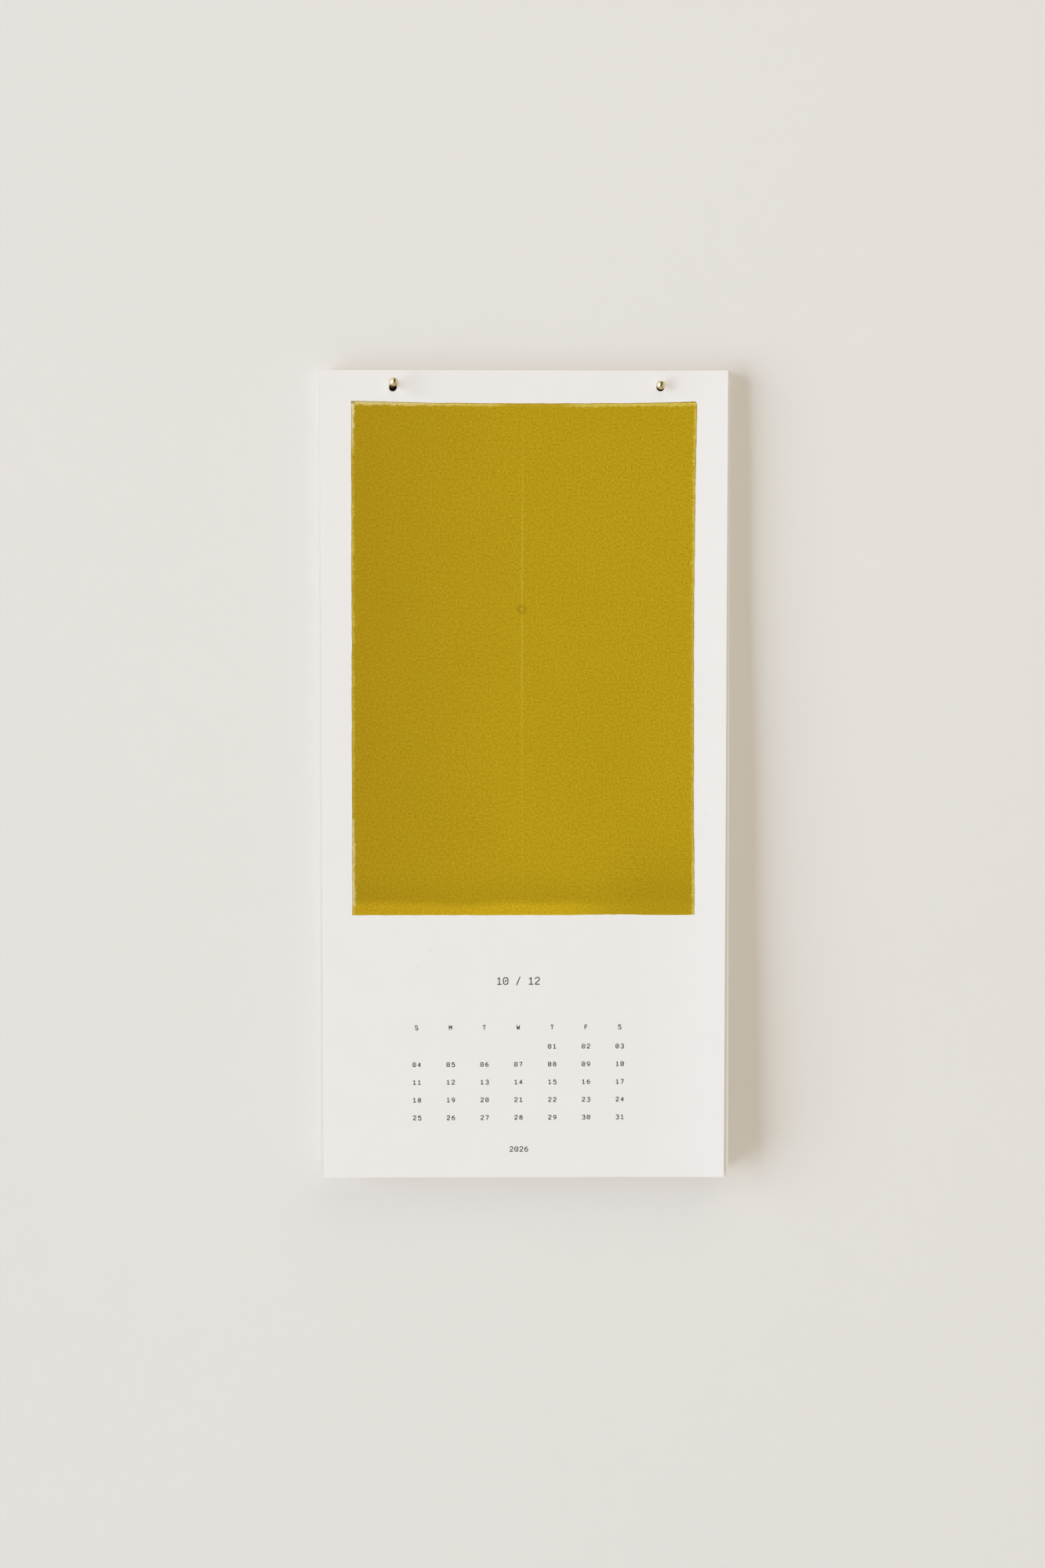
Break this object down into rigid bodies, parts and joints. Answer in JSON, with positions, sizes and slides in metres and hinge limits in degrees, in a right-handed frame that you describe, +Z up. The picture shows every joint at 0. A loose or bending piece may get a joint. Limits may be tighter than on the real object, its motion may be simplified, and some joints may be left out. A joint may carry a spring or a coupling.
{
  "type": "wall calendar",
  "caption": "Narrow wall calendar of loose card leaves, the front one with an olive painted field above its dates, hung through punched holes on domed brass nails.",
  "frame": {"origin": "on the wall, halfway between the axes of the two nails", "axes": "+Z up, +X to the right of someone facing the wall, +Y into the wall along the nails"},
  "size_m": [0.1541, 0.0311, 0.3051],
  "materials": {
    "card": "matte",
    "olive_paint": "matte",
    "brass": "polished"
  },
  "bodies": {
    "root": {"leaf_october": "card", "leaf_november": "card", "leaf_december": "card", "leaf_january": "card", "leaf_february": "card", "leaf_march": "card", "leaf_april": "card", "leaf_may": "card", "leaf_june": "card", "leaf_july": "card", "leaf_august": "card", "leaf_september": "card", "painted_field": "olive_paint", "nail_left": "brass", "nail_right": "brass"}
  },
  "joints": []
}
